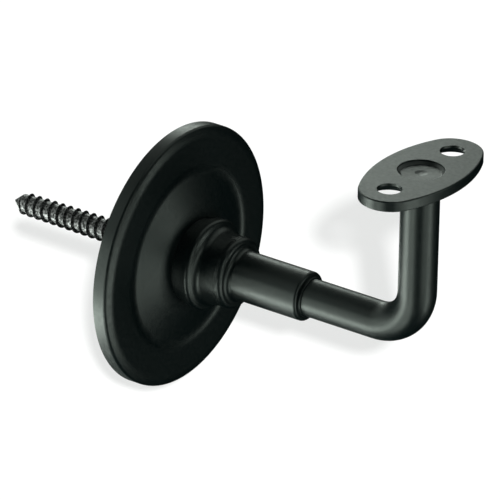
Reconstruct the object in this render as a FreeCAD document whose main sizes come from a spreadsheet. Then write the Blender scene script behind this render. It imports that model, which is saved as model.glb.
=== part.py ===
import FreeCAD, Part
import math
import os
import Sketcher

# Handrail bracket: a turned wall rosette, a moulded collar, a bent round arm and an oval saddle
# plate, screwed to the wall by a hanger bolt. Millimetres, +Z up. The origin is on the arm's axis
# in the wall plane, +X points out of the wall and +Y runs along the handrail.

doc = FreeCAD.newDocument("HandrailBracket")
sheet = doc.addObject("Spreadsheet::Sheet", "Sizes")

driving_sizes = (
    # arm: a round rod, bent once
    ("rod_diameter", 12.0),
    ("bend_radius", 14.0),
    ("arm_reach", 90.7),
    ("saddle_height", 54.3),
    ("rod_end_chamfer", 0.15),
    ("centre_mark_diameter", 3.2),
    ("centre_mark_depth", 0.9),
    # rosette: one shell, open towards the wall
    ("rosette_diameter", 84.0),
    ("rosette_wall", 2.0),
    ("rim_depth", 5.6),
    ("rim_round", 2.5),
    ("rim_inner_round", 1.25),
    ("dish_diameter", 62.0),
    ("dish_drop", 1.4),
    ("dish_wall_width", 2.0),
    ("dish_edge_round", 2.2),
    ("dish_round", 3.0),
    ("crown_depth", 8.8),
    ("crown_diameter", 31.0),
    ("crown_round", 24.0),
    # collar: neck, ring, waist, bead, sleeve and a thin end lip turned from one bar
    ("neck_diameter", 26.8),
    ("neck_length", 3.9),
    ("ring_diameter", 29.3),
    ("ring_length", 2.6),
    ("ring_round", 1.45),
    ("flare_angle", 20.0),
    ("waist_diameter", 23.6),
    ("waist_end_diameter", 22.3),
    ("waist_length", 6.56),
    ("waist_round", 2.65),
    ("bead_diameter", 22.8),
    ("bead_length", 2.65),
    ("bead_round", 1.65),
    ("sleeve_wall", 1.8),
    ("sleeve_length", 25.7),
    ("sleeve_root_round", 1.7),
    ("sleeve_end_round", 0.85),
    ("lip_wall", 0.4),
    ("lip_length", 0.9),
    ("lip_round", 0.25),
    # saddle plate: an oval of four arcs
    ("plate_length", 52.0),
    ("plate_width", 27.1),
    ("plate_end_radius", 9.75),
    ("plate_thickness", 3.4),
    ("plate_edge_round", 0.4),
    ("recess_diameter", 14.3),
    ("recess_depth", 1.35),
    ("recess_edge_round", 0.2),
    ("rail_hole_spacing", 33.6),
    ("rail_hole_diameter", 7.7),
    ("rail_sink_depth", 2.6),
    # hanger bolt: wood thread into the wall, machine thread into the arm
    ("wood_thread_diameter", 7.9),
    ("wood_thread_tip_diameter", 7.35),
    ("wood_thread_length", 62.0),
    ("wood_thread_taper_length", 32.0),
    ("bolt_point_length", 6.4),
    ("shank_diameter", 7.1),
    ("machine_thread_diameter", 7.8),
    ("machine_thread_length", 22.0),
    ("machine_thread_chamfer", 0.8),
    # clearances, on the radius, and the room left past the bolt's end
    ("slip_clearance", 0.05),
    ("bolt_hole_clearance", 0.35),
    ("tapped_hole_spare", 3.0),
    ("drill_point_angle", 118.0),
)
for row, (alias, number) in enumerate(driving_sizes, start=1):
    sheet.set("A%d" % row, alias)
    sheet.set("B%d" % row, str(number))
    sheet.setAlias("B%d" % row, alias)
doc.recompute()


def size(formula):
    return float(sheet.evalExpression(formula))


# Distances along the arm's axis, measured from the wall.
crown = "Sizes.crown_depth"
ring_back = crown + " + Sizes.neck_length"
ring_front = ring_back + " + Sizes.ring_length"
flare_run = "(Sizes.ring_diameter - Sizes.waist_diameter) / 2 * tan(Sizes.flare_angle * 1deg)"
waist_back = ring_front + " + " + flare_run
bead_back = waist_back + " + Sizes.waist_length"
bead_front = bead_back + " + Sizes.bead_length"
sleeve_end = bead_front + " + Sizes.sleeve_length"
lip_end = sleeve_end + " + Sizes.lip_length"

# Radii shared by pieces that fit together.
rod_radius = "Sizes.rod_diameter / 2"
slip_bore_radius = rod_radius + " + Sizes.slip_clearance"
machine_radius = "Sizes.machine_thread_diameter / 2"
rod_top = "Sizes.saddle_height - Sizes.recess_depth"


def new_body(label):
    body = doc.addObject("PartDesign::Body", label)
    body.Label = label
    return body


def new_sketch(body, plane, name, shift_x="0", shift_z="0"):
    sketch = body.newObject("Sketcher::SketchObject", name)
    support = [part for part in body.Origin.OriginFeatures if part.Role == plane][0]
    sketch.AttachmentSupport = (support, [""])
    sketch.MapMode = "FlatFace"
    sketch.setExpression(".AttachmentOffset.Base.x", shift_x)
    sketch.setExpression(".AttachmentOffset.Base.z", shift_z)
    return sketch


def drive(sketch, kind, references, formula):
    # adds one dimension and ties it to the sheet
    index = sketch.addConstraint(Sketcher.Constraint(kind, *references, size(formula)))
    sketch.setExpression("Constraints[%d]" % index, formula)


def place_corner(sketch, line, corner):
    # holds the start of a line at its two distances from the sketch's axes
    for kind, axis, formula in (("DistanceX", -2, corner[0]), ("DistanceY", -1, corner[1])):
        if formula == "0":
            sketch.addConstraint(Sketcher.Constraint("PointOnObject", line, 1, axis))
        else:
            drive(sketch, kind, (-1, 1, line, 1), formula)


def draw_outline(sketch, corners):
    # a closed run of straight lines through corners given as formulas
    points = [FreeCAD.Vector(size(across), size(up), 0) for across, up in corners]
    count = len(points)
    for line in range(count):
        sketch.addGeometry(Part.LineSegment(points[line], points[(line + 1) % count]), False)
    for line in range(count):
        sketch.addConstraint(Sketcher.Constraint("Coincident", line, 2, (line + 1) % count, 1))
        place_corner(sketch, line, corners[line])


def turn(body, kind, name, plane, axis, corners, shift_x="0"):
    # a full turn of an outline about one of its sketch's own axes
    sketch = new_sketch(body, plane, name + "Outline", shift_x)
    draw_outline(sketch, corners)
    feature = body.newObject("PartDesign::" + kind, name)
    feature.Profile = sketch
    feature.ReferenceAxis = (sketch, [axis])
    feature.Angle = 360
    doc.recompute()
    return feature


def rings(feature, distance, radius, along="x"):
    # names of the circular edges at this distance along an axis and of this radius
    found = []
    for number, edge in enumerate(feature.Shape.Edges, start=1):
        if not isinstance(edge.Curve, Part.Circle):
            continue
        on_plane = abs(getattr(edge.Curve.Center, along) - size(distance)) < 0.01
        if on_plane and abs(edge.Curve.Radius - size(radius)) < 0.01:
            found.append("Edge%d" % number)
    return found


def round_edges(body, name, base, edges, formula):
    fillet = body.newObject("PartDesign::Fillet", name)
    fillet.Base = (base, edges)
    fillet.setExpression("Radius", formula)
    doc.recompute()
    return fillet


# Wall rosette. The same outline runs along its front and, one wall further back, along its hollow
# side: a rounded rim, a flat border, a dish with a sloping edge and a low dome up to the crown.
rosette = new_body("wall_rosette")
rim_radius = "Sizes.rosette_diameter / 2"
dish_radius = "Sizes.dish_diameter / 2"
dish_foot = "Sizes.rim_depth - Sizes.dish_drop"
dish_foot_radius = dish_radius + " - Sizes.dish_wall_width"
crown_radius = "Sizes.crown_diameter / 2"
# The rounds at the top and foot of the dish's edge share the sloping wall between them.
dome_rise = "(" + crown + " - (" + dish_foot + "))"
dome_run = "(" + dish_foot_radius + " - " + crown_radius + ")"
dish_lean = "atan2(Sizes.dish_drop; Sizes.dish_wall_width)"
dish_turn = "(" + dish_lean + " + atan2(" + dome_rise + "; " + dome_run + "))"
dish_wall = "hypot(Sizes.dish_drop; Sizes.dish_wall_width)"
dish_edge_round = "min(Sizes.dish_edge_round; 0.35 * " + dish_wall + " / tan(" + dish_lean + " / 2))"
dish_round = "min(Sizes.dish_round; 0.64 * " + dish_wall + " / tan(" + dish_turn + " / 2))"
bolt_hole_radius = machine_radius + " + Sizes.bolt_hole_clearance"
inner_rim_radius = rim_radius + " - Sizes.rosette_wall"
behind = " - Sizes.rosette_wall"
rosette_shell = turn(rosette, "Revolution", "RosetteShell", "XY_Plane", "H_Axis", [
    ("0", rim_radius),
    ("Sizes.rim_depth", rim_radius),
    ("Sizes.rim_depth", dish_radius),
    (dish_foot, dish_foot_radius),
    (crown, crown_radius),
    (crown, bolt_hole_radius),
    (crown + behind, bolt_hole_radius),
    (crown + behind, crown_radius),
    (dish_foot + behind, dish_foot_radius),
    ("Sizes.rim_depth" + behind, dish_radius),
    ("Sizes.rim_depth" + behind, inner_rim_radius),
    ("0", inner_rim_radius),
])
rosette_rounds = (
    ("RimRound", "Sizes.rim_depth", rim_radius, "Sizes.rim_round"),
    ("DishEdgeRound", "Sizes.rim_depth", dish_radius, dish_edge_round),
    ("DishRound", dish_foot, dish_foot_radius, dish_round),
    ("CrownRound", crown, crown_radius, "Sizes.crown_round"),
    ("RimInnerRound", "Sizes.rim_depth" + behind, inner_rim_radius, "Sizes.rim_inner_round"),
    ("DishInnerEdgeRound", "Sizes.rim_depth" + behind, dish_radius, dish_edge_round),
    ("DishInnerRound", dish_foot + behind, dish_foot_radius, dish_round),
    ("CrownInnerRound", crown + behind, crown_radius, "Sizes.crown_round"),
)
rosette_tip = rosette_shell
for name, distance, radius, formula in rosette_rounds:
    rosette_tip = round_edges(rosette, name, rosette_tip, rings(rosette_tip, distance, radius), formula)

# Collar: it slips over the arm, seats on the crown and covers the joint with its mouldings.
collar = new_body("arm_collar")
ring_radius = "Sizes.ring_diameter / 2"
waist_radius = "Sizes.waist_diameter / 2"
bead_radius = "Sizes.bead_diameter / 2"
sleeve_radius = slip_bore_radius + " + Sizes.sleeve_wall"
lip_radius = slip_bore_radius + " + Sizes.lip_wall"
collar_blank = turn(collar, "Revolution", "CollarBlank", "XY_Plane", "H_Axis", [
    (crown, slip_bore_radius),
    (crown, "Sizes.neck_diameter / 2"),
    (ring_back, "Sizes.neck_diameter / 2"),
    (ring_back, ring_radius),
    (ring_front, ring_radius),
    (waist_back, waist_radius),
    (bead_back, "Sizes.waist_end_diameter / 2"),
    (bead_back, bead_radius),
    (bead_front, bead_radius),
    (bead_front, sleeve_radius),
    (sleeve_end, sleeve_radius),
    (sleeve_end, lip_radius),
    (lip_end, lip_radius),
    (lip_end, slip_bore_radius),
])
collar_rounds = (
    ("RingRound", ring_front, ring_radius, "Sizes.ring_round"),
    ("WaistRound", waist_back, waist_radius, "Sizes.waist_round"),
    ("BeadRound", bead_front, bead_radius, "Sizes.bead_round"),
    ("SleeveRootRound", bead_front, sleeve_radius, "Sizes.sleeve_root_round"),
    ("SleeveEndRound", sleeve_end, sleeve_radius, "Sizes.sleeve_end_round"),
    ("LipRound", lip_end, lip_radius, "Sizes.lip_round"),
)
collar_tip = collar_blank
for name, distance, radius, formula in collar_rounds:
    collar_tip = round_edges(collar, name, collar_tip, rings(collar_tip, distance, radius), formula)

# Support arm: the rod starts on the crown, runs out level, bends up and ends in the plate's recess.
arm = new_body("support_arm")
path = new_sketch(arm, "XZ_Plane", "ArmPath")
bend_start = size("Sizes.arm_reach - Sizes.bend_radius")
bend_radius = size("Sizes.bend_radius")
arm_reach = size("Sizes.arm_reach")
bend_circle = Part.Circle(FreeCAD.Vector(bend_start, bend_radius, 0), FreeCAD.Vector(0, 0, 1), bend_radius)
rod_start = FreeCAD.Vector(size(crown), 0, 0)
rod_finish = FreeCAD.Vector(arm_reach, size(rod_top), 0)
path.addGeometry(Part.LineSegment(rod_start, FreeCAD.Vector(bend_start, 0, 0)), False)
path.addGeometry(Part.ArcOfCircle(bend_circle, 1.5 * math.pi, 2 * math.pi), False)
path.addGeometry(Part.LineSegment(FreeCAD.Vector(arm_reach, bend_radius, 0), rod_finish), False)
path.addConstraint(Sketcher.Constraint("Tangent", 0, 2, 1, 1))
path.addConstraint(Sketcher.Constraint("Tangent", 1, 2, 2, 1))
path.addConstraint(Sketcher.Constraint("PointOnObject", 0, 1, -1))
path.addConstraint(Sketcher.Constraint("Horizontal", 0))
path.addConstraint(Sketcher.Constraint("Vertical", 2))
drive(path, "DistanceX", (-1, 1, 0, 1), crown)
drive(path, "Radius", (1,), "Sizes.bend_radius")
drive(path, "DistanceX", (-1, 1, 2, 2), "Sizes.arm_reach")
drive(path, "DistanceY", (-1, 1, 2, 2), rod_top)
section = new_sketch(arm, "YZ_Plane", "RodSection", shift_z=crown)
section.addGeometry(Part.Circle(FreeCAD.Vector(0, 0, 0), FreeCAD.Vector(0, 0, 1), size(rod_radius)), False)
section.addConstraint(Sketcher.Constraint("Coincident", 0, 3, -1, 1))
drive(section, "Radius", (0,), rod_radius)
doc.recompute()
rod = arm.newObject("PartDesign::AdditivePipe", "BentRod")
rod.Profile = section
rod.Spine = (path, ["Edge1", "Edge2", "Edge3"])
doc.recompute()
rod_ends = []
for number, edge in enumerate(rod.Shape.Edges, start=1):
    at_wall = abs(edge.BoundBox.XMax - size(crown)) < 0.01
    at_top = abs(edge.BoundBox.ZMin - size(rod_top)) < 0.01
    if at_wall or at_top:
        rod_ends.append("Edge%d" % number)
end_chamfer = arm.newObject("PartDesign::Chamfer", "RodEndChamfer")
end_chamfer.Base = (rod, rod_ends)
end_chamfer.setExpression("Size", "Sizes.rod_end_chamfer")
doc.recompute()

# The tapped hole in the arm's wall end, with its drill point, and the centre mark in its top end.
tapped_radius = machine_radius + " + Sizes.slip_clearance"
tapped_bottom = crown + " + Sizes.machine_thread_length + Sizes.tapped_hole_spare"
drill_point_length = "(" + tapped_radius + ") / tan(Sizes.drill_point_angle * 1deg / 2)"
turn(arm, "Groove", "TappedHole", "XY_Plane", "H_Axis", [
    (crown, "0"),
    (crown, tapped_radius),
    (tapped_bottom, tapped_radius),
    (tapped_bottom + " + " + drill_point_length, "0"),
])
turn(arm, "Groove", "CentreMark", "XZ_Plane", "V_Axis", [
    ("0", rod_top),
    ("0", rod_top + " - Sizes.centre_mark_depth"),
    ("Sizes.centre_mark_diameter / 2", rod_top),
], shift_x="Sizes.arm_reach")

# Saddle plate: four tangent arcs make its oval. Its own frame is at the middle of its underside.
plate = new_body("saddle_plate")
plate.setExpression(".Placement.Base.x", "Sizes.arm_reach")
plate.setExpression(".Placement.Base.z", "Sizes.saddle_height - Sizes.plate_thickness")
oval = new_sketch(plate, "XY_Plane", "PlateOval")
half_length = size("Sizes.plate_length / 2")
half_width = size("Sizes.plate_width / 2")
end_radius = size("Sizes.plate_end_radius")
end_centre = half_length - end_radius
side_radius = (end_centre ** 2 + half_width ** 2 - end_radius ** 2) / (2 * (half_width - end_radius))
side_centre = side_radius - half_width
lean = math.atan2(end_centre, side_centre)
arcs = (
    (0, end_centre, end_radius, lean, math.pi - lean),
    (side_centre, 0, side_radius, math.pi - lean, math.pi + lean),
    (0, -end_centre, end_radius, math.pi + lean, 2 * math.pi - lean),
    (-side_centre, 0, side_radius, -lean, lean),
)
for centre_x, centre_y, radius, first_angle, last_angle in arcs:
    circle = Part.Circle(FreeCAD.Vector(centre_x, centre_y, 0), FreeCAD.Vector(0, 0, 1), radius)
    oval.addGeometry(Part.ArcOfCircle(circle, first_angle, last_angle), False)
for arc in range(4):
    oval.addConstraint(Sketcher.Constraint("Tangent", arc, 2, (arc + 1) % 4, 1))
centre_rise = "Sizes.plate_length / 2 - Sizes.plate_end_radius"
half_width_rule = "Sizes.plate_width / 2"
side_radius_rule = (
    "((" + centre_rise + ")^2 + (" + half_width_rule + ")^2 - Sizes.plate_end_radius^2)"
    " / (2 * (" + half_width_rule + " - Sizes.plate_end_radius))"
)
for end_arc in (0, 2):
    oval.addConstraint(Sketcher.Constraint("PointOnObject", end_arc, 3, -2))
    drive(oval, "Radius", (end_arc,), "Sizes.plate_end_radius")
drive(oval, "DistanceY", (-1, 1, 0, 3), centre_rise)
drive(oval, "DistanceY", (2, 3, -1, 1), centre_rise)
drive(oval, "DistanceX", (-1, 1, 1, 3), side_radius_rule + " - " + half_width_rule)
drive(oval, "DistanceX", (3, 3, -1, 1), side_radius_rule + " - " + half_width_rule)
doc.recompute()
slab = plate.newObject("PartDesign::Pad", "PlateSlab")
slab.Profile = oval
slab.setExpression("Length", "Sizes.plate_thickness")
doc.recompute()
flat_edges = []
for number, edge in enumerate(slab.Shape.Edges, start=1):
    if edge.BoundBox.ZLength < 0.01:
        flat_edges.append("Edge%d" % number)
round_edges(plate, "PlateEdgeRound", slab, flat_edges, "Sizes.plate_edge_round")
recess_floor = "Sizes.plate_thickness - Sizes.recess_depth"
recess_radius = "Sizes.recess_diameter / 2"
rod_seat = turn(plate, "Groove", "RodSeat", "XZ_Plane", "V_Axis", [
    ("0", "0"),
    (slip_bore_radius, "0"),
    (slip_bore_radius, recess_floor),
    (recess_radius, recess_floor),
    (recess_radius, "Sizes.plate_thickness"),
    ("0", "Sizes.plate_thickness"),
])
recess_edge = rings(rod_seat, "Sizes.plate_thickness", recess_radius, "z")
round_edges(plate, "RecessEdgeRound", rod_seat, recess_edge, "Sizes.recess_edge_round")
rail_hole_radius = "Sizes.rail_hole_diameter / 2"
rail_hole = turn(plate, "Groove", "RailHole", "YZ_Plane", "V_Axis", [
    ("0", "0"),
    (rail_hole_radius + " + Sizes.rail_sink_depth", "0"),
    (rail_hole_radius, "Sizes.rail_sink_depth"),
    (rail_hole_radius, "Sizes.plate_thickness"),
    ("0", "Sizes.plate_thickness"),
], shift_x="Sizes.rail_hole_spacing / 2")
other_rail_hole = plate.newObject("PartDesign::Mirrored", "OtherRailHole")
other_rail_hole.Originals = [rail_hole]
mirror_plane = [part for part in plate.Origin.OriginFeatures if part.Role == "XZ_Plane"][0]
other_rail_hole.MirrorPlane = (mirror_plane, [""])
plate.Tip = other_rail_hole
doc.recompute()

# Hanger bolt. Its own frame is at its tip; both threads are held as plain cylinders.
bolt = new_body("hanger_bolt")
bolt.setExpression(".Placement.Base.x", "-Sizes.wood_thread_length")
shank_start = "Sizes.wood_thread_length"
machine_start = shank_start + " + Sizes.crown_depth - Sizes.rosette_wall"
bolt_end = shank_start + " + Sizes.crown_depth + Sizes.machine_thread_length"
turn(bolt, "Revolution", "BoltBlank", "XY_Plane", "H_Axis", [
    ("0", "0"),
    ("Sizes.bolt_point_length", "Sizes.wood_thread_tip_diameter / 2"),
    ("Sizes.wood_thread_taper_length", "Sizes.wood_thread_diameter / 2"),
    (shank_start, "Sizes.wood_thread_diameter / 2"),
    (shank_start, "Sizes.shank_diameter / 2"),
    (machine_start, "Sizes.shank_diameter / 2"),
    (machine_start, machine_radius),
    (bolt_end + " - Sizes.machine_thread_chamfer", machine_radius),
    (bolt_end, machine_radius + " - Sizes.machine_thread_chamfer"),
    (bolt_end, "0"),
])

# Every object is checked, then each piece goes to its own STEP file.
doc.recompute()
for item in doc.Objects:
    if "Invalid" in item.State or "Error" in item.State:
        raise ValueError("%s did not compute: %s" % (item.Name, item.State))
os.makedirs("parts", exist_ok=True)
for body in (rosette, collar, arm, plate, bolt):
    shape = body.Shape
    if shape.isNull() or not shape.isValid() or len(shape.Solids) != 1:
        raise ValueError("%s is not one sound solid" % body.Label)
    shape.exportStep(os.path.join("parts", body.Label + ".step"))
    print(body.Label, round(shape.Volume, 1), shape.BoundBox)
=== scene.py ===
import math
import bmesh
import bpy
from mathutils import Matrix, Vector


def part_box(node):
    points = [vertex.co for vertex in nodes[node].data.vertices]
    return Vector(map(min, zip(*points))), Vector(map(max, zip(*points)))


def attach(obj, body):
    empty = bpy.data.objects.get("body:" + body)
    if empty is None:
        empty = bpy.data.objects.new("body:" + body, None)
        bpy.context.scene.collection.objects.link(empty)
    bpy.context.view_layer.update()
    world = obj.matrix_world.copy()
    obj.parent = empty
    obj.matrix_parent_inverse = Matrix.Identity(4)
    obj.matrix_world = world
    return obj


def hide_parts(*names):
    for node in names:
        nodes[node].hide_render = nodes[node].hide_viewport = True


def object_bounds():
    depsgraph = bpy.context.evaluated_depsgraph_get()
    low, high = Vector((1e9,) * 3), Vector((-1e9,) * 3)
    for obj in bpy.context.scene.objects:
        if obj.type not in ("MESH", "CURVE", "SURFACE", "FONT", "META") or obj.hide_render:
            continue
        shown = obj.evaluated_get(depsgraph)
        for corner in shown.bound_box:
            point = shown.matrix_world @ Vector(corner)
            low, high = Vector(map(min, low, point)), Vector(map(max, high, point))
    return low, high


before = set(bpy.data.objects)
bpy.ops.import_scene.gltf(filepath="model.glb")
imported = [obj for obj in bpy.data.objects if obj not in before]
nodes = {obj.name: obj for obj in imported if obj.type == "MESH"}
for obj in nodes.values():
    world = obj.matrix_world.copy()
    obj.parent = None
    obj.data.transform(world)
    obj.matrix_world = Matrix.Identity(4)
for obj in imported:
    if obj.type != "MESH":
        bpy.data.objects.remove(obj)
cadLow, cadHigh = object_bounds()
scene = bpy.context.scene
scene.view_settings.view_transform = "Standard"
mm = 0.001


# short helpers for node trees
def addNode(tree, kind, feeds=None, **settings):
    node = tree.nodes.new(kind)
    for name, value in settings.items():
        setattr(node, name, value)
    for socket, value in (feeds or {}).items():
        if isinstance(value, bpy.types.NodeSocket):
            tree.links.new(value, node.inputs[socket])
        else:
            node.inputs[socket].default_value = value
    return node


def calc(tree, operation, *values, clamp=False):
    node = addNode(tree, "ShaderNodeMath", dict(enumerate(values)), operation=operation)
    node.use_clamp = clamp
    return node.outputs[0]


def newMaterial(name):
    material = bpy.data.materials.new(name)
    material.use_nodes = True
    tree = material.node_tree
    tree.nodes.clear()
    surface = addNode(tree, "ShaderNodeBsdfPrincipled")
    addNode(tree, "ShaderNodeOutputMaterial", {"Surface": surface.outputs["BSDF"]})
    return material, tree, surface


view = {
    "azimuth": 35.0,
    "elevation": 25.92,
    "roll": 1.05,
    "distance": 2.0,
    "focalLength": 469.08,
    "sensorWidth": 36.0,
    "aim": (28.75 * mm, 0.0, 9.28 * mm),
}


def facing(azimuth, elevation):
    # side, top and back of what looks at the bracket; azimuth 0 stands off along -Y and 90 along +X
    turn, lift = math.radians(azimuth), math.radians(elevation)
    back = Vector((math.sin(turn) * math.cos(lift), -math.cos(turn) * math.cos(lift), math.sin(lift)))
    side = Vector((math.cos(turn), math.sin(turn), 0.0))
    return side, back.cross(side), back


def placeCamera():
    roll = math.radians(view["roll"])
    side, top, back = facing(view["azimuth"], view["elevation"])
    right = side * math.cos(roll) + top * math.sin(roll)
    upward = -side * math.sin(roll) + top * math.cos(roll)
    camera = bpy.data.objects.new("camera", bpy.data.cameras.new("camera"))
    camera.data.lens = view["focalLength"]
    camera.data.sensor_width = view["sensorWidth"]
    camera.data.clip_start = 0.1
    camera.data.clip_end = 20.0
    spin = Matrix((right, upward, back)).transposed()
    camera.matrix_world = Matrix.Translation(Vector(view["aim"]) + back * view["distance"]) @ spin.to_4x4()
    scene.collection.objects.link(camera)
    scene.camera = camera


placeCamera()
print("camera placed")

# satin black powder coat: a faint green-black colour under an even sheen with fine orange peel
coat = {
    "colour": (0.0002, 0.0024, 0.0030, 1.0),
    "paleColour": (0.0006, 0.0042, 0.0048, 1.0),
    "sheenTint": (0.935, 1.0, 0.955, 1.0),
    "roughness": 0.38,
    "roughnessSpread": 0.05,
    "cloudSize": 60.0,
    "orangePeelSize": 900.0,
    "orangePeelDepth": 0.012,
    "grainSize": 5200.0,
    "grainDepth": 0.006,
    "bumpStrength": 0.25,
}


def powderCoat():
    material, tree, surface = newMaterial("satinBlackCoat")
    place = addNode(tree, "ShaderNodeTexCoord").outputs["Object"]
    cloud = addNode(tree, "ShaderNodeTexNoise", {
        "Vector": place,
        "Scale": coat["cloudSize"],
        "Detail": 3.0,
    })
    mixer = addNode(tree, "ShaderNodeMix", data_type="RGBA")
    mixer.inputs[6].default_value = coat["colour"]
    mixer.inputs[7].default_value = coat["paleColour"]
    tree.links.new(cloud.outputs[0], mixer.inputs[0])
    tree.links.new(mixer.outputs[2], surface.inputs["Base Color"])
    surface.inputs["Specular Tint"].default_value = coat["sheenTint"]
    peel = addNode(tree, "ShaderNodeTexNoise", {
        "Vector": place,
        "Scale": coat["orangePeelSize"],
        "Detail": 2.0,
    })
    grain = addNode(tree, "ShaderNodeTexNoise", {
        "Vector": place,
        "Scale": coat["grainSize"],
        "Detail": 1.0,
    })
    rough = addNode(tree, "ShaderNodeMapRange", {
        "Value": peel.outputs[0],
        "From Min": 0.3,
        "From Max": 0.7,
        "To Min": coat["roughness"] - coat["roughnessSpread"],
        "To Max": coat["roughness"] + coat["roughnessSpread"],
    })
    tree.links.new(rough.outputs[0], surface.inputs["Roughness"])
    peelBump = addNode(tree, "ShaderNodeBump", {
        "Height": peel.outputs[0],
        "Strength": coat["bumpStrength"],
        "Distance": coat["orangePeelDepth"] * mm,
    })
    grainBump = addNode(tree, "ShaderNodeBump", {
        "Height": grain.outputs[0],
        "Strength": coat["bumpStrength"],
        "Distance": coat["grainDepth"] * mm,
        "Normal": peelBump.outputs[0],
    })
    tree.links.new(grainBump.outputs[0], surface.inputs["Normal"])
    return material


blackCoat = powderCoat()

# dark, rough steel of the hanger bolt
steel = {
    "darkColour": (0.026, 0.026, 0.026, 1.0),
    "paleColour": (0.30, 0.295, 0.30, 1.0),
    "roughness": (0.34, 0.52),
    "metallic": 0.9,
    "blotchSize": 1500.0,
    "blotchRange": (0.42, 0.66),
    "bumpStrength": 0.6,
    "scaleDepth": 0.05,
}


def screwSteel():
    material, tree, surface = newMaterial("dullScrewSteel")
    place = addNode(tree, "ShaderNodeTexCoord").outputs["Object"]
    blotchLow, blotchHigh = steel["blotchRange"]
    roughLow, roughHigh = steel["roughness"]
    blotch = addNode(tree, "ShaderNodeTexNoise", {
        "Vector": place,
        "Scale": steel["blotchSize"],
        "Detail": 4.0,
    })
    patchy = addNode(tree, "ShaderNodeMapRange", {
        "Value": blotch.outputs[0],
        "From Min": blotchLow,
        "From Max": blotchHigh,
    })
    mixer = addNode(tree, "ShaderNodeMix", data_type="RGBA")
    mixer.inputs[6].default_value = steel["darkColour"]
    mixer.inputs[7].default_value = steel["paleColour"]
    tree.links.new(patchy.outputs[0], mixer.inputs[0])
    tree.links.new(mixer.outputs[2], surface.inputs["Base Color"])
    surface.inputs["Metallic"].default_value = steel["metallic"]
    rough = addNode(tree, "ShaderNodeMapRange", {
        "Value": blotch.outputs[0],
        "To Min": roughLow,
        "To Max": roughHigh,
    })
    tree.links.new(rough.outputs[0], surface.inputs["Roughness"])
    bump = addNode(tree, "ShaderNodeBump", {
        "Height": blotch.outputs[0],
        "Strength": steel["bumpStrength"],
        "Distance": steel["scaleDepth"] * mm,
    })
    tree.links.new(bump.outputs[0], surface.inputs["Normal"])
    return material


boltSteel = screwSteel()

for name in ("wall_rosette", "arm_collar", "support_arm", "saddle_plate", "hanger_bolt"):
    node = nodes[name]
    node.data.materials.clear()
    node.data.materials.append(boltSteel if name == "hanger_bolt" else blackCoat)
print("materials given to the packed pieces")

# rolled wood thread of the hanger bolt
woodThread = {
    "Thread Start": -62.0 * mm,
    "Thread End": 0.0,
    "Pitch": 3.02 * mm,
    "Phase": 0.26,
    "Crest Radius": 3.95 * mm,
    "Tip Crest Radius": 3.675 * mm,
    "Point Length": 4.4 * mm,
    "Taper Length": 32.0 * mm,
    "End Radius": 3.55 * mm,
    "Root Share": 0.79,
    "Crest Share": 0.04,
    "Flank Share": 0.14,
    "Steps Per Turn": 56,
    "Rows Per Turn": 24,
}


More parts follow.
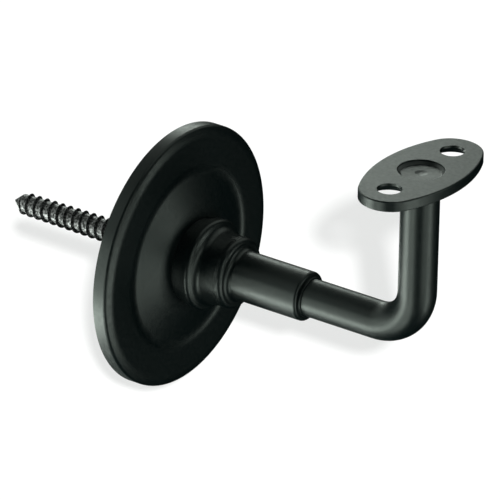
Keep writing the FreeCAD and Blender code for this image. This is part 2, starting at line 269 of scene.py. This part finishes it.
def threadTree():
    tree = bpy.data.node_groups.new("cutThread", "GeometryNodeTree")
    face = tree.interface
    face.new_socket("Geometry", in_out="OUTPUT", socket_type="NodeSocketGeometry")
    face.new_socket("Geometry", in_out="INPUT", socket_type="NodeSocketGeometry")
    for name, value in woodThread.items():
        kind = "NodeSocketInt" if isinstance(value, int) else "NodeSocketFloat"
        face.new_socket(name, in_out="INPUT", socket_type=kind)
    face.new_socket("Material", in_out="INPUT", socket_type="NodeSocketMaterial")
    given = addNode(tree, "NodeGroupInput").outputs
    start, end, pitch = given["Thread Start"], given["Thread End"], given["Pitch"]
    steps = given["Steps Per Turn"]
    across = calc(tree, "ADD", given["Rows Per Turn"], 1)
    length = calc(tree, "SUBTRACT", end, start)
    # three turns to spare, so that both ends close
    turns = calc(tree, "ADD", calc(tree, "CEIL", calc(tree, "DIVIDE", length, pitch)), 3)
    along = calc(tree, "ADD", calc(tree, "MULTIPLY", turns, steps), 1)
    grid = addNode(tree, "GeometryNodeMeshGrid", {"Vertices X": along, "Vertices Y": across})
    index = addNode(tree, "GeometryNodeInputIndex").outputs[0]
    column = calc(tree, "FLOOR", calc(tree, "DIVIDE", calc(tree, "ADD", index, 0.5), across))
    row = calc(tree, "SUBTRACT", index, calc(tree, "MULTIPLY", column, across))
    share = calc(tree, "DIVIDE", row, given["Rows Per Turn"])
    turn = calc(tree, "DIVIDE", column, steps)
    # how far along the bolt each point lies, held between the two ends
    ride = calc(tree, "SUBTRACT", calc(tree, "ADD", turn, share), 1.5)
    travel = calc(tree, "MULTIPLY", ride, pitch)
    held = calc(tree, "MINIMUM", calc(tree, "MAXIMUM", travel, 0.0), length)
    # crest radius there, growing along the taper, and the plain cone that the point is cut to
    pointShare = calc(tree, "DIVIDE", held, given["Point Length"])
    pointRise = calc(tree, "MULTIPLY", pointShare, given["Tip Crest Radius"])
    taper = addNode(tree, "ShaderNodeMapRange", {
        "Value": held,
        "From Min": given["Point Length"],
        "From Max": given["Taper Length"],
        "To Min": given["Tip Crest Radius"],
        "To Max": given["Crest Radius"],
    }).outputs[0]
    # thread form: flat crest, straight flanks, wide root
    offCentre = calc(tree, "ABSOLUTE", calc(tree, "SUBTRACT", share, 0.5))
    reach = calc(tree, "ADD", given["Flank Share"], calc(tree, "MULTIPLY", given["Crest Share"], 0.5))
    form = calc(tree, "DIVIDE", calc(tree, "SUBTRACT", reach, offCentre), given["Flank Share"], clamp=True)
    rootGap = calc(tree, "SUBTRACT", 1.0, given["Root Share"])
    formShare = calc(tree, "ADD", given["Root Share"], calc(tree, "MULTIPLY", form, rootGap))
    radius = calc(tree, "MULTIPLY", taper, formShare)
    radius = calc(tree, "MINIMUM", radius, pointRise)
    # the thread runs out over its last turn, and a last ring at the axis closes the end
    left = calc(tree, "DIVIDE", calc(tree, "SUBTRACT", length, held), pitch, clamp=True)
    endPart = calc(tree, "MULTIPLY", given["End Radius"], calc(tree, "SUBTRACT", 1.0, left))
    radius = calc(tree, "ADD", calc(tree, "MULTIPLY", radius, left), endPart)
    inside = calc(tree, "LESS_THAN", travel, calc(tree, "ADD", length, pitch))
    radius = calc(tree, "MULTIPLY", radius, inside)
    wound = calc(tree, "ADD", calc(tree, "FRACT", turn), given["Phase"])
    angle = calc(tree, "MULTIPLY", wound, 2 * math.pi)
    spot = addNode(tree, "ShaderNodeCombineXYZ", {
        "X": calc(tree, "ADD", start, held),
        "Y": calc(tree, "MULTIPLY", radius, calc(tree, "COSINE", angle)),
        "Z": calc(tree, "MULTIPLY", radius, calc(tree, "SINE", angle)),
    })
    moved = addNode(tree, "GeometryNodeSetPosition", {
        "Geometry": grid.outputs["Mesh"],
        "Position": spot.outputs[0],
    })
    welded = addNode(tree, "GeometryNodeMergeByDistance", {"Geometry": moved.outputs[0], "Distance": 1e-6})
    real = addNode(tree, "GeometryNodeRealizeInstances", {"Geometry": welded.outputs[0]})
    dressed = addNode(tree, "GeometryNodeSetMaterial", {
        "Geometry": real.outputs[0],
        "Material": given["Material"],
    })
    addNode(tree, "NodeGroupOutput", {"Geometry": dressed.outputs[0]})
    return tree


def runTree(tree, name, values, material):
    carrier = bpy.data.objects.new(name, bpy.data.meshes.new(name))
    scene.collection.objects.link(carrier)
    modifier = carrier.modifiers.new(name, "NODES")
    modifier.node_group = tree
    sockets = {item.name: item.identifier for item in tree.interface.items_tree if item.in_out == "INPUT"}
    for socket, value in values.items():
        modifier[sockets[socket]] = value
    modifier[sockets["Material"]] = material
    ready = carrier.evaluated_get(bpy.context.evaluated_depsgraph_get())
    mesh = bpy.data.meshes.new_from_object(ready)
    bpy.data.objects.remove(carrier)
    return mesh


def roundCorners(corners, step=math.radians(5)):
    # corners are (along, out, round); each round becomes an arc between its two straight neighbours
    outline = []
    for number, (along, out, radius) in enumerate(corners):
        here = Vector((along, out))
        if radius == 0.0:
            outline.append(here)
            continue
        before = (Vector(corners[number - 1][:2]) - here).normalized()
        after = (Vector(corners[(number + 1) % len(corners)][:2]) - here).normalized()
        half = before.angle(after) / 2
        middle = here + (before + after).normalized() * (radius / math.sin(half))
        first = here + before * (radius / math.tan(half)) - middle
        last = here + after * (radius / math.tan(half)) - middle
        bend = first.angle_signed(last)
        parts = max(2, math.ceil(abs(bend) / step))
        for part in range(parts + 1):
            share = bend * part / parts
            cosine, sine = math.cos(share), -math.sin(share)
            turned = Vector((first.x * cosine - first.y * sine, first.x * sine + first.y * cosine))
            outline.append(middle + turned)
    return outline


def lathe(form, outline, spin=Matrix(), ringed=False, steps=160):
    # turns an outline of (along, out) millimetres about X, then places it with spin;
    # a ringed outline closes on itself, any other one starts and ends on the axis
    rings = []
    for along, out in outline:
        count = 1 if out == 0.0 else steps
        angles = [2 * math.pi * number / steps for number in range(count)]
        points = [Vector((along, out * math.cos(angle), out * math.sin(angle))) * mm for angle in angles]
        rings.append([form.verts.new(spin @ point) for point in points])
    pairs = list(zip(rings, rings[1:]))
    if ringed:
        pairs.append((rings[-1], rings[0]))
    for first, second in pairs:
        for step in range(steps):
            after = (step + 1) % steps
            near = (first[step % len(first)], first[after % len(first)])
            far = (second[after % len(second)], second[step % len(second)])
            form.faces.new(list(dict.fromkeys(near + far)))


sharpAngle = math.radians(40)


def finishPiece(form, name, material):
    bmesh.ops.recalc_face_normals(form, faces=form.faces)
    mesh = bpy.data.meshes.new(name)
    form.to_mesh(mesh)
    form.free()
    mesh.materials.append(material)
    mesh.shade_smooth()
    mesh.set_sharp_from_angle(angle=sharpAngle)
    piece = bpy.data.objects.new(name, mesh)
    scene.collection.objects.link(piece)
    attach(piece, "root")
    return piece


# wall rosette: rolled rim, flat border, shallow dish and low dome, with an even wall behind them
rosette = {
    "wall": 2.0,
    "borderDepth": 5.6,
    "rimShoulder": 1.16,
    "rimShoulderWidth": 2.6,
    "rimRound": 1.2,
    "borderRound": 5.0,
    "dishRadius": 30.0,
    "dishFootRadius": 27.75,
    "dishDrop": 0.85,
    "dishEdgeRound": 4.6,
    "dishRound": 3.9,
    "crownRadius": 15.5,
    "crownRound": 20.0,
    "boltHoleRadius": 4.25,
    "innerRimRound": 1.25,
    "steps": 224,
}


def makeRosette():
    low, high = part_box("wall_rosette")
    crown, rim = high[0] / mm, high[2] / mm
    wall, border = rosette["wall"], rosette["borderDepth"]
    foot = border - rosette["dishDrop"]
    dish, footRadius = rosette["dishRadius"], rosette["dishFootRadius"]
    crownRadius = rosette["crownRadius"]
    corners = [
        (0.0, rim, 0.0),
        (border - rosette["rimShoulder"], rim, rosette["rimRound"]),
        (border, rim - rosette["rimShoulderWidth"], rosette["borderRound"]),
        (border, dish, rosette["dishEdgeRound"]),
        (foot, footRadius, rosette["dishRound"]),
        (crown, crownRadius, rosette["crownRound"]),
        (crown, rosette["boltHoleRadius"], 0.0),
        (crown - wall, rosette["boltHoleRadius"], 0.0),
        (crown - wall, crownRadius, rosette["crownRound"]),
        (foot - wall, footRadius, rosette["dishRound"]),
        (border - wall, dish, rosette["dishEdgeRound"]),
        (border - wall, rim - wall, rosette["innerRimRound"]),
        (0.0, rim - wall, 0.0),
    ]
    form = bmesh.new()
    lathe(form, roundCorners(corners), ringed=True, steps=rosette["steps"])
    piece = finishPiece(form, "dishedRosette", blackCoat)
    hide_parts("wall_rosette")


makeRosette()
print("rosette turned")

# paint that has pooled in the saddle plate's recess, over the end of the arm
pool = {
    "radius": 7.1,
    "recessDepth": 1.35,
    "thickness": 0.3,
    "climb": 0.62,
    "climbWidth": 0.85,
    "climbRound": 0.6,
    "markRadius": 2.0,
    "markDepth": 0.16,
    "markFlatRadius": 0.8,
    "markRounds": (0.9, 1.2),
    "steps": 128,
}


def makePaintPool():
    low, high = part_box("saddle_plate")
    thick, edge, mark = pool["thickness"], pool["radius"], pool["markRadius"]
    flat, (innerRound, outerRound) = pool["markFlatRadius"], pool["markRounds"]
    corners = [
        (thick - pool["markDepth"], 0.0, 0.0),
        (thick - pool["markDepth"], flat, innerRound),
        (thick, mark, outerRound),
        (thick, edge - pool["climbWidth"], pool["climbRound"]),
        (thick + pool["climb"], edge, 0.0),
        (0.0, edge, 0.0),
        (0.0, 0.0, 0.0),
    ]
    bottom = Vector(((low[0] + high[0]) / 2, (low[1] + high[1]) / 2, high[2]))
    bottom.z -= pool["recessDepth"] * mm
    upright = Matrix.Translation(bottom) @ Matrix.Rotation(-math.pi / 2, 4, "Y")
    form = bmesh.new()
    lathe(form, roundCorners(corners), spin=upright, steps=pool["steps"])
    finishPiece(form, "pooledPaint", blackCoat)


makePaintPool()
print("paint pooled in the recess")

# plain shank in front of the wood thread: (along, out) from the axis at one end to the axis at the other
shank = {
    "outline": (
        (-1.0, 0.0),
        (-1.0, 3.55),
        (6.8, 3.55),
        (6.8, 3.9),
        (30.0, 3.9),
        (30.8, 3.1),
        (30.8, 0.0),
    ),
    "steps": 96,
}


def makeBolt():
    threadMesh = runTree(threadTree(), "woodThread", woodThread, boltSteel)
    form = bmesh.new()
    form.from_mesh(threadMesh)
    lathe(form, shank["outline"], steps=shank["steps"])
    piece = finishPiece(form, "threadedBolt", boltSteel)
    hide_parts("hanger_bolt")
    return piece


bolt = makeBolt()
print("threaded bolt made:", len(bolt.data.vertices), "points")

# pale floor, a little below the bracket: it glows, takes shadows, and lights and reflects in nothing;
# its own lamp draws the soft shadow, and lights the floor alone
stage = {
    "size": 8.0,
    "below": 28.0,
    "glow": 0.675,
    "colour": (0.2, 0.2, 0.2, 1.0),
    "roughness": 0.9,
    "lampAzimuth": 37.8,
    "lampElevation": 28.5,
    "lampDistance": 2.4,
    "lampSpread": 2.0,
    "lampStrength": 9.6,
}


def makeFloor():
    height = cadLow.z - stage["below"] * mm
    bpy.ops.mesh.primitive_plane_add(size=stage["size"], location=(0.0, 0.0, height))
    floor = bpy.context.object
    floor.name = "floor"
    material, tree, surface = newMaterial("paleFloor")
    surface.inputs["Base Color"].default_value = stage["colour"]
    surface.inputs["Roughness"].default_value = stage["roughness"]
    surface.inputs["Specular IOR Level"].default_value = 0.0
    surface.inputs["Emission Color"].default_value = (1.0, 1.0, 1.0, 1.0)
    surface.inputs["Emission Strength"].default_value = stage["glow"]
    floor.data.materials.append(material)
    floor.visible_diffuse = False
    floor.visible_glossy = False
    floor.visible_shadow = False
    return floor


def lampMatrix(azimuth, elevation, distance):
    side, top, back = facing(azimuth, elevation)
    spin = Matrix((side, top, back)).transposed()
    return Matrix.Translation(Vector(view["aim"]) + back * distance) @ spin.to_4x4()


def makeFloorLamp(floor):
    lamp = bpy.data.lights.new("floorLamp", "SUN")
    lamp.angle = math.radians(stage["lampSpread"])
    lamp.energy = stage["lampStrength"]
    holder = bpy.data.objects.new("floorLamp", lamp)
    holder.matrix_world = lampMatrix(
        stage["lampAzimuth"],
        stage["lampElevation"],
        stage["lampDistance"],
    )
    scene.collection.objects.link(holder)
    lit = bpy.data.collections.new("litByFloorLamp")
    lit.objects.link(floor)
    holder.light_linking.receiver_collection = lit


# soft boxes round the bracket: azimuth and elevation of the box, half its width and height as seen
# from the bracket, all in degrees, and how bright it looks
softBoxes = {
    "lowKey": (-79.8, -40.5, 36.2, 9.9, 10.4),
    "leftStrip": (-36.4, -10.5, 10.0, 27.4, 3.45),
    "lowFront": (-2.4, -34.5, 10.0, 23.8, 3.55),
    "leftWash": (-82.0, 25.8, 38.2, 25.3, 0.98),
    "rightWall": (65.7, 4.3, 10.2, 40.0, 1.68),
    "lowRight": (95.8, -26.2, 9.9, 19.3, 3.35),
    "rightSpot": (112.5, 4.8, 9.9, 10.6, 3.15),
    "backKey": (-140.1, 19.8, 10.0, 10.0, 4.4),
    "highBack": (174.0, 56.6, 19.8, 40.0, 0.68),
}
boxDistance = 1.4
boxColour = (0.91, 1.0, 0.93)


def softBox(name, azimuth, elevation, halfWidth, halfHeight, brightness):
    lamp = bpy.data.lights.new(name, "AREA")
    lamp.shape = "RECTANGLE"
    lamp.size = 2 * boxDistance * math.tan(math.radians(halfWidth))
    lamp.size_y = 2 * boxDistance * math.tan(math.radians(halfHeight))
    lamp.color = boxColour
    lamp.energy = brightness * math.pi * lamp.size * lamp.size_y
    holder = bpy.data.objects.new(name, lamp)
    holder.matrix_world = lampMatrix(azimuth, elevation, boxDistance)
    holder.visible_camera = False
    scene.collection.objects.link(holder)


floor = makeFloor()
makeFloorLamp(floor)
for boxName, boxValues in softBoxes.items():
    softBox(boxName, *boxValues)
print("floor and lights placed")
